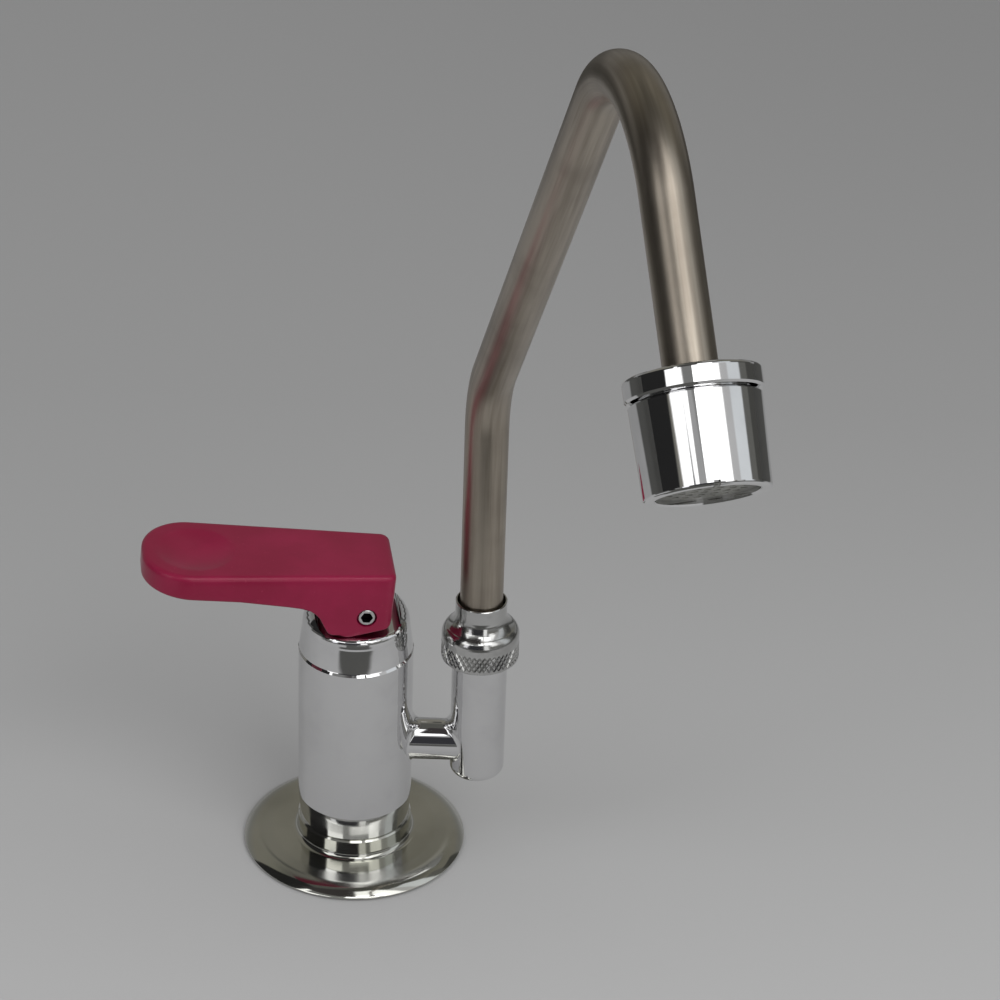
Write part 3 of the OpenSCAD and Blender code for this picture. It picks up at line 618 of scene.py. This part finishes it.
def paddle():
    shape = bmesh.new()
    outline = leverOutline()
    loops = []

    def loop(inset, height):
        made = []
        for spot, a in outline:
            inner = spot - Vector((math.cos(a), math.sin(a))) * inset
            made.append(Vector((inner.x, inner.y, height(inner.x, inner.y))))
        loops.append(made)

    def shrink(base, share, height):
        made = []
        for spot in base:
            x = min(max(spot.x, lever["tipRound"] - lever["reach"]),
                    lever["hubEnd"] - lever["hubHalf"] + lever["ridge"])
            inner = Vector((spot.x + (x - spot.x) * share, spot.y * (1 - share)))
            made.append(Vector((inner.x, inner.y, height(inner.x, inner.y))))
        loops.append(made)

    low, high = lever["lowEdge"], lever["edge"]
    for i in range(lever["lowSteps"] + 1):
        a = math.pi / 2 * i / lever["lowSteps"]
        loop(low * (1 - math.sin(a)), lambda x, y, a=a: underside(x) + low * (1 - math.cos(a)))
    for share in lever["edgeShares"]:
        loop(0.0, lambda x, y, s=share: (underside(x) + low) * (1 - s) + (lever["top"] - high) * s)
    for i in range(lever["highSteps"] + 1):
        a = math.pi / 2 * i / lever["highSteps"]
        loop(high * (1 - math.cos(a)), lambda x, y, a=a: lever["top"] - high * (1 - math.sin(a)))
    rim = loops[-1]
    for i in range(1, lever["topSteps"] + 1):
        shrink(rim, i / lever["topSteps"], topside)
    foot = loops[0]
    for i in range(1, lever["underSteps"] + 1):
        shrink(foot, i / lever["underSteps"], lambda x, y: underside(x))
        loops.insert(0, loops.pop())
    joinRings(shape, [[shape.verts.new(spot * mm) for spot in ringed] for ringed in loops])
    bmesh.ops.remove_doubles(shape, verts=shape.verts, dist=lever["weld"])
    return meshPiece("leverPaddle", shape, "crimson_coat")


def roundCutter(name, radius, low, high, sides=64):
    shape = bmesh.new()
    bmesh.ops.create_cone(shape, cap_ends=True, segments=sides, radius1=radius * mm,
                          radius2=radius * mm, depth=(high - low) * mm)
    shape.transform(Matrix.Translation((0, 0, (high + low) / 2 * mm)))
    shape.transform(Matrix.Rotation(math.radians(90), 4, "X"))
    return objectFrom(name, shape)


def boxCutter(name, low, high):
    shape = bmesh.new()
    bmesh.ops.create_cube(shape, size=1.0)
    size = Vector(high) - Vector(low)
    shape.transform(Matrix.Diagonal((size.x * mm, size.y * mm, size.z * mm, 1)))
    shape.transform(Matrix.Translation((Vector(high) + Vector(low)) / 2 * mm))
    return objectFrom(name, shape)


def cutAway(piece, tools):
    for tool in tools:
        step = piece.modifiers.new("cut", "BOOLEAN")
        step.operation = "DIFFERENCE"
        step.solver = "EXACT"
        step.object = tool
    bpy.context.view_layer.update()
    shaped = bpy.data.meshes.new_from_object(piece.evaluated_get(bpy.context.evaluated_depsgraph_get()))
    piece.modifiers.clear()
    old = piece.data
    piece.data = shaped
    shaped.name = piece.name
    bpy.data.meshes.remove(old)
    for tool in tools:
        bpy.data.objects.remove(tool)
    shaped.set_sharp_from_angle(angle=math.radians(lever["sharp"]))


paddlePiece = paddle()
cutAway(paddlePiece, [
    roundCutter("slotRound", lever["slotR"], -lever["slotHalf"], lever["slotHalf"]),
    boxCutter("slotGap", (-lever["slotR"], -lever["slotHalf"], -lever["slotDeep"]),
              (lever["slotR"], lever["slotHalf"], 0)),
    roundCutter("screwHole", lever["screwR"], lever["screwFrom"], lever["beyond"]),
    roundCutter("screwRing", lever["ringR"], lever["hubHalf"] - lever["ringDepth"], lever["beyond"]),
])
paddlePiece.data.transform(Matrix.Rotation(math.radians(lever["turn"]), 4, "Z")
                           @ Matrix.Translation((lever["offset"] * mm, 0, lever["pin"] * mm))
                           @ Matrix.Rotation(math.radians(lever["tilt"]), 4, "Y"))
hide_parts("lever")
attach(paddlePiece, "lever")
print("stage: lever shaped")

# Camera, solved from the photograph's outlines
shot = {"place": (32.47, -670.8, 502.78), "down": 31.25, "roll": 1.96, "focal": 3.4463,
        "sensor": 36, "far": 20}


def addCamera():
    data = bpy.data.cameras.new("camera")
    data.sensor_width = shot["sensor"]
    data.lens = shot["focal"] * shot["sensor"]
    data.clip_end = shot["far"]
    camera = bpy.data.objects.new("camera", data)
    bpy.context.collection.objects.link(camera)
    down, roll = math.radians(shot["down"]), math.radians(shot["roll"])
    ahead = Vector((0, math.cos(down), -math.sin(down)))
    level = Vector((0, math.sin(down), math.cos(down)))
    right = Vector((1, 0, 0)) * math.cos(roll) + level * math.sin(roll)
    up = -Vector((1, 0, 0)) * math.sin(roll) + level * math.cos(roll)
    turned = Matrix((right, up, -ahead)).transposed().to_4x4()
    camera.matrix_world = Matrix.Translation(Vector(shot["place"]) * mm) @ turned
    bpy.context.scene.camera = camera


addCamera()

# Worktop of pale paper, soft lamps, and the room that only the metal mirrors
# beyond: the near-black tone that mirrored rays see on the paper, a painted reflection of the dim room and
# of a dark figure in front
paper = {"size": 16.0, "mirrored": 0.42, "fade": 0.1, "beyond": (0.085, 0.085, 0.08),
         "paintedReflectionX": (-0.08, 0.14), "paintedReflectionY": (-0.5, -0.16), "paintedReflectionSoft": 0.02,
         "start": -0.2, "reach": 1.0, "rough": 0.85, "shine": 0.2, "under": 0.0001, "grainScale": 300.0,
         "ripple": 0.05, "deep": 0.0001,
         "paintedShadeX": (-0.25, 0.3), "paintedShadeY": (0.0, 0.5), "paintedShade": 0.18, "paintedShadeTone": (0.12, 0.12, 0.12),
         # stops: paper tone by distance back, painted darker towards the back as painted shade of the light
         # falling off
         "stops": [(0.14, (0.435, 0.435, 0.435)), (0.2, (0.40, 0.40, 0.40)),
                   (0.358, (0.34, 0.34, 0.34)), (0.414, (0.325, 0.325, 0.325)),
                   (0.714, (0.305, 0.305, 0.305))]}


def paperFinish():
    f = finishCalled("palePaper")
    where = f.place()
    x, y = f.split(where)[:2]
    # painted shade: the paper's tone falls off towards the back, standing in for the light falling off there
    tone = f.ramp((y - paper["start"]) / paper["reach"], paper["stops"])
    # painted shade: the paper is darkened towards its right and back, standing in for the light falling off
    # on that side
    paintedShade = x.clipped(*paper["paintedShadeX"]) * y.clipped(*paper["paintedShadeY"]) * paper["paintedShade"]
    tone = f.blend(paintedShade, tone, paper["paintedShadeTone"])
    # painted reflection: mirrored rays see the paper near black beyond the mirrored radius and in a patch in
    # front, standing in for the dim room and a dark figure reflected in the metal
    away = f.maths("SQRT", x * x + y * y).clipped(paper["mirrored"], paper["mirrored"] + paper["fade"])
    gap = x.within(*paper["paintedReflectionX"], paper["paintedReflectionSoft"]) * y.within(*paper["paintedReflectionY"], paper["paintedReflectionSoft"])
    mirror = f.node("ShaderNodeLightPath", out=rayIs["glossy"])
    tone = f.blend(mirror * f.maths("MAXIMUM", away, gap), tone, paper["beyond"])
    grain = f.noise(paper["grainScale"], 3.0, 0.6, where)
    shader = f.node("ShaderNodeBsdfPrincipled", None,
                    {"Base Color": tone, "Roughness": paper["rough"],
                     "Specular IOR Level": paper["shine"],
                     "Normal": f.bump(grain, paper["ripple"], paper["deep"])})
    clear = f.node("ShaderNodeBsdfTransparent")
    back = f.node("ShaderNodeNewGeometry", out=backFace)
    shown = f.node("ShaderNodeMixShader", None, {0: back, 1: shader, 2: clear})
    f.add("ShaderNodeOutputMaterial", None, {"Surface": shown})
    return f.holder


def addPaper():
    shape = bmesh.new()
    half = paper["size"] / 2
    corners = [shape.verts.new((x, y, -paper["under"])) for x, y in
               ((-half, -half), (half, -half), (half, half), (-half, half))]
    shape.faces.new(corners)
    sheet = objectFrom("worktopPaper", shape)
    sheet.data.materials.append(paperFinish())


lamps = {"windowSoft": {"place": (0.72, -0.9, 0.85), "aim": (0.02, 0.0, 0.08), "size": (1.1, 0.9),
                        "power": 10.0, "tint": (1, 1, 1)},
         "leftSoft": {"place": (-0.9, -0.35, 0.8), "aim": (0.0, 0.0, 0.1), "size": (0.6, 0.6),
                      "power": 2.2, "tint": (0.97, 0.98, 1.0)}}


def addLamp(name, lamp):
    data = bpy.data.lights.new(name, "AREA")
    data.shape = "RECTANGLE"
    data.size, data.size_y = lamp["size"]
    data.energy = lamp["power"]
    data.color = lamp["tint"]
    obj = bpy.data.objects.new(name, data)
    obj.location = lamp["place"]
    facing = Vector(lamp["aim"]) - Vector(lamp["place"])
    obj.rotation_euler = facing.to_track_quat("-Z", "Y").to_euler()
    obj.visible_glossy = False
    bpy.context.collection.objects.link(obj)


# Angles in degrees: around from the front towards the right, up from the horizon
room = {"fill": (0.62, 0.62, 0.62), "far": (0.27, 0.27, 0.27),
        "stops": [(0.0, (0.34, 0.34, 0.34)), (0.5, (0.30, 0.30, 0.30)), (0.62, (0.20, 0.20, 0.19)),
                  (0.75, (0.215, 0.205, 0.175)), (0.88, (0.20, 0.195, 0.165)),
                  (0.95, (0.10, 0.10, 0.09))],
        "panes": [{"around": (-58, 60), "up": (28, 78), "soft": 3, "glow": (1.7, 1.7, 1.7)},
                  {"around": (-6, 42), "up": (47, 58), "soft": 4, "glow": (3.0, 3.0, 3.0)},
                  {"around": (60, 74), "up": (20, 66), "soft": 3, "glow": (0.55, 0.55, 0.55)},
                  {"around": (75, 95), "up": (8, 64), "soft": 3, "glow": (0.75, 0.78, 0.80)},
                  {"around": (96, 108), "up": (-6, 45), "soft": 3, "glow": (0.14, 0.14, 0.13)},
                  {"around": (108, 124), "up": (-8, 30), "soft": 3, "glow": (0.07, 0.07, 0.065)},
                  {"around": (-108, -60), "up": (-6, 66), "soft": 3, "glow": (0.02, 0.02, 0.02)},
                  {"around": (-52, -8), "up": (45, 60), "soft": 2, "glow": (0.22, 0.22, 0.215)},
                  {"around": (-70, 4), "up": (56, 88), "soft": 3, "glow": (0.05, 0.045, 0.045)},
                  {"around": (-22, 34), "up": (24, 44), "soft": 2, "glow": (0.40, 0.40, 0.40)},
                  {"around": (-33, 10), "up": (2, 37), "soft": 2, "glow": (0.04, 0.04, 0.045)},
                  {"around": (-46, -36), "up": (6, 30), "soft": 1, "glow": (1.2, 1.2, 1.25)},
                  {"around": (13, 25), "up": (-10, 40), "soft": 1, "glow": (1.3, 1.3, 1.3)},
                  {"around": (160, 178), "up": (42, 50), "soft": 2, "glow": (0.36, 0.35, 0.32)},
                  {"around": (-177, -162), "up": (43, 50), "soft": 2, "glow": (0.07, 0.07, 0.065)}]}


def addRoom():
    world = bpy.data.worlds.new("room")
    bpy.context.scene.world = world
    f = Finish(world)
    x, y, z = f.split(f.node("ShaderNodeTexCoord"))
    around = f.maths("ARCTAN2", x, y * -1) * math.degrees(1)
    up = f.maths("ARCSINE", z) * math.degrees(1)
    seen = f.ramp(z * 0.5 + 0.5, room["stops"])
    for pane in room["panes"]:
        inside = around.within(*pane["around"], pane["soft"]) * up.within(*pane["up"], pane["soft"])
        seen = f.blend(inside, seen, pane["glow"])
    direct = f.node("ShaderNodeLightPath", out=rayIs["camera"])
    mirror = f.node("ShaderNodeLightPath", out=rayIs["glossy"])
    glow = f.blend(direct, f.blend(mirror, room["fill"], seen), room["far"])
    light = f.node("ShaderNodeBackground", None, {"Color": glow, "Strength": 1.0})
    f.add("ShaderNodeOutputWorld", None, {"Surface": light})


addPaper()
addRoom()
for lampName, lampMade in lamps.items():
    addLamp(lampName, lampMade)
bpy.context.scene.view_settings.view_transform = "Standard"
print("stage: camera, lamps and paper set")
